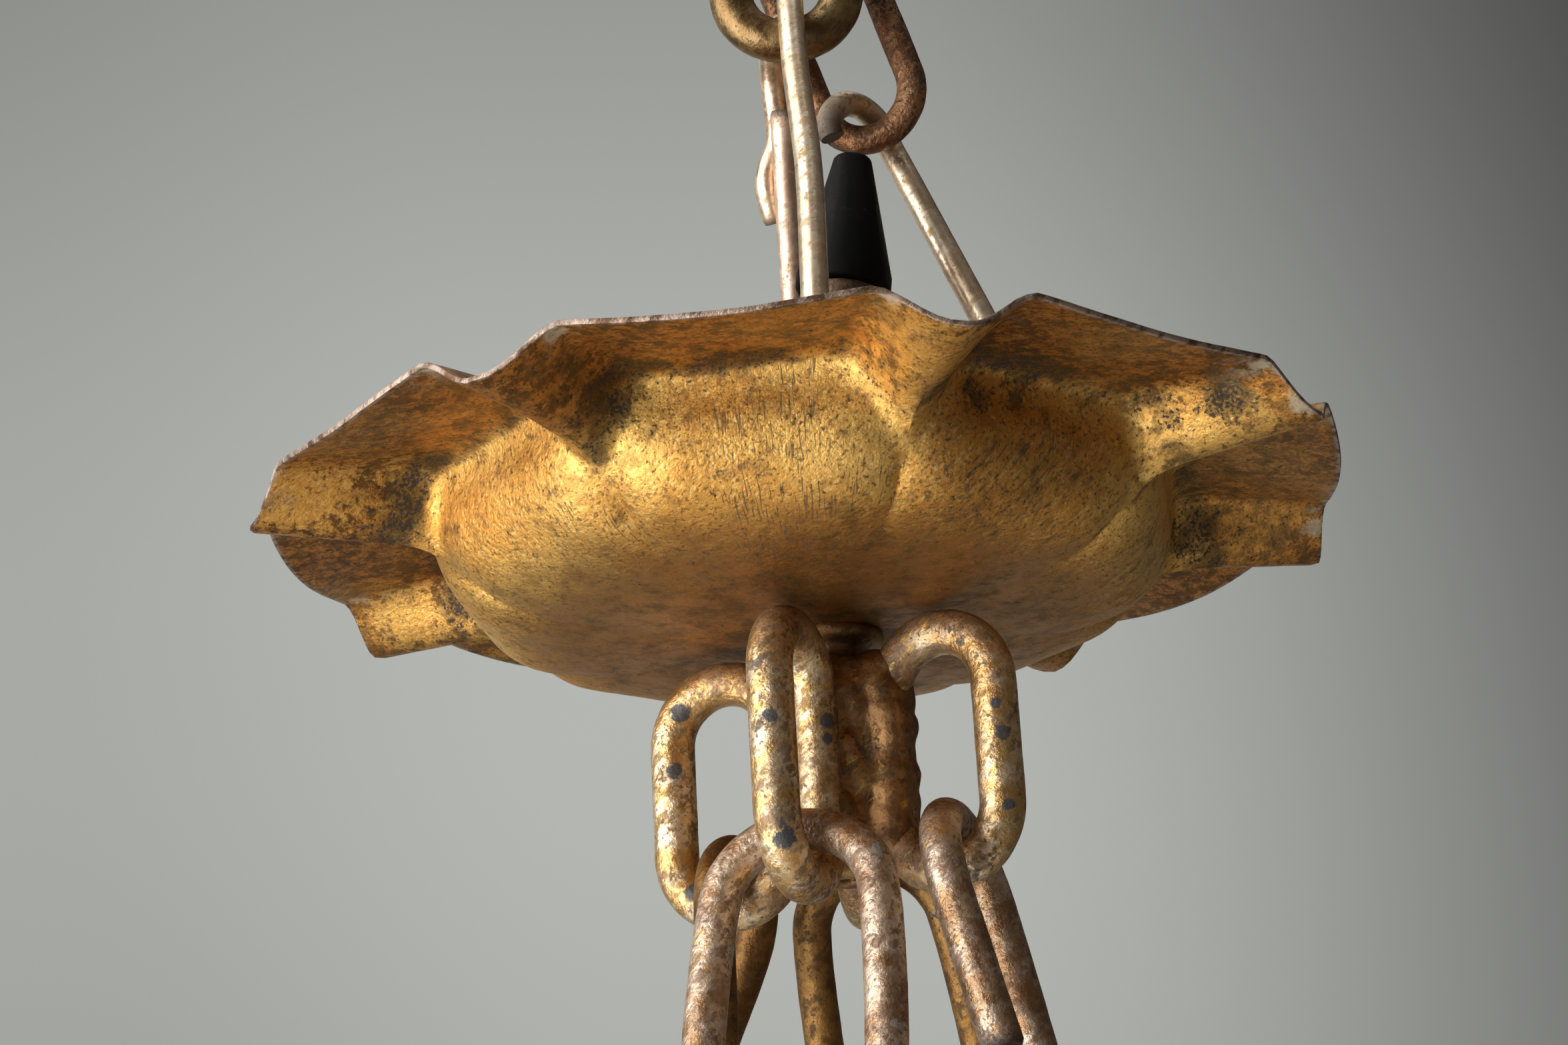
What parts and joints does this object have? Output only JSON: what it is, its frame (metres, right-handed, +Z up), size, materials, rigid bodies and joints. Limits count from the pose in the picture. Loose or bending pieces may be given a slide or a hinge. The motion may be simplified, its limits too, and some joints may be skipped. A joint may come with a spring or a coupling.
{
  "type": "iron chandelier crown",
  "caption": "Suspension crown of a gilt wrought-iron chandelier: lobed dish on a stem, wire eyes with splayed open chain links below, rods, links and ring above.",
  "frame": {"origin": "seat of the ceiling hook, inside the top of the suspension ring", "axes": "+Z up, -Y towards the viewer of the picture, +X to the viewer's right"},
  "size_m": [0.136, 0.136, 0.232],
  "materials": {
    "gilt_dish": "aged gilding on beaten sheet iron, speckled and scratched",
    "gilt_eye": "worn gilding with dark chips",
    "rusty_gilt": "pinkish brown rust with rubbed highlights",
    "pale_gilt": "pale bright gilding",
    "dark_iron": "dark brown iron with gold specks",
    "black_cap": "matt black"
  },
  "bodies": {
    "ring": {"suspension_ring": "gilt_eye"},
    "crown": {"lobed_dish": "gilt_dish", "center_stem": "dark_iron", "strap_left_right": "dark_iron", "strap_front_back": "dark_iron", "stem_nut": "dark_iron", "front_eye": "gilt_eye", "right_eye": "gilt_eye", "back_eye": "gilt_eye", "left_eye": "gilt_eye", "bail_rod": "pale_gilt", "back_rod": "pale_gilt", "side_rod": "pale_gilt", "top_link": "gilt_eye", "side_link": "rusty_gilt", "wiring_tube": "dark_iron", "black_cap": "black_cap"},
    "front_link_body": {"front_link": "rusty_gilt"},
    "right_link_body": {"right_link": "rusty_gilt"},
    "back_link_body": {"back_link": "rusty_gilt"},
    "left_link_body": {"left_link": "rusty_gilt"}
  },
  "joints": [
    {"name": "crown_swing", "type": "hinge", "parent": "ring", "child": "crown", "pos_m": [0, 0, -0.0285], "axis": [0, 1, 0], "range_deg": [-25, 25]},
    {"name": "front_link_swing", "type": "hinge", "parent": "crown", "child": "front_link_body", "pos_m": [-0.00444, -0.01587, -0.16419], "axis": [-0.9397, 0.342, 0], "range_deg": [-8.8, 40]},
    {"name": "right_link_swing", "type": "hinge", "parent": "crown", "child": "right_link_body", "pos_m": [0.01391, -0.00965, -0.16261], "axis": [-0.5446, -0.8387, 0], "range_deg": [-5.5, 40]},
    {"name": "back_link_swing", "type": "hinge", "parent": "crown", "child": "back_link_body", "pos_m": [0.00335, 0.01426, -0.16137], "axis": [0.9877, -0.1564, 0], "range_deg": [-10.3, 40]},
    {"name": "left_link_swing", "type": "hinge", "parent": "crown", "child": "left_link_body", "pos_m": [-0.01336, 0.00456, -0.16284], "axis": [0.3746, 0.9272, 0], "range_deg": [-0.6, 40]}
  ]
}
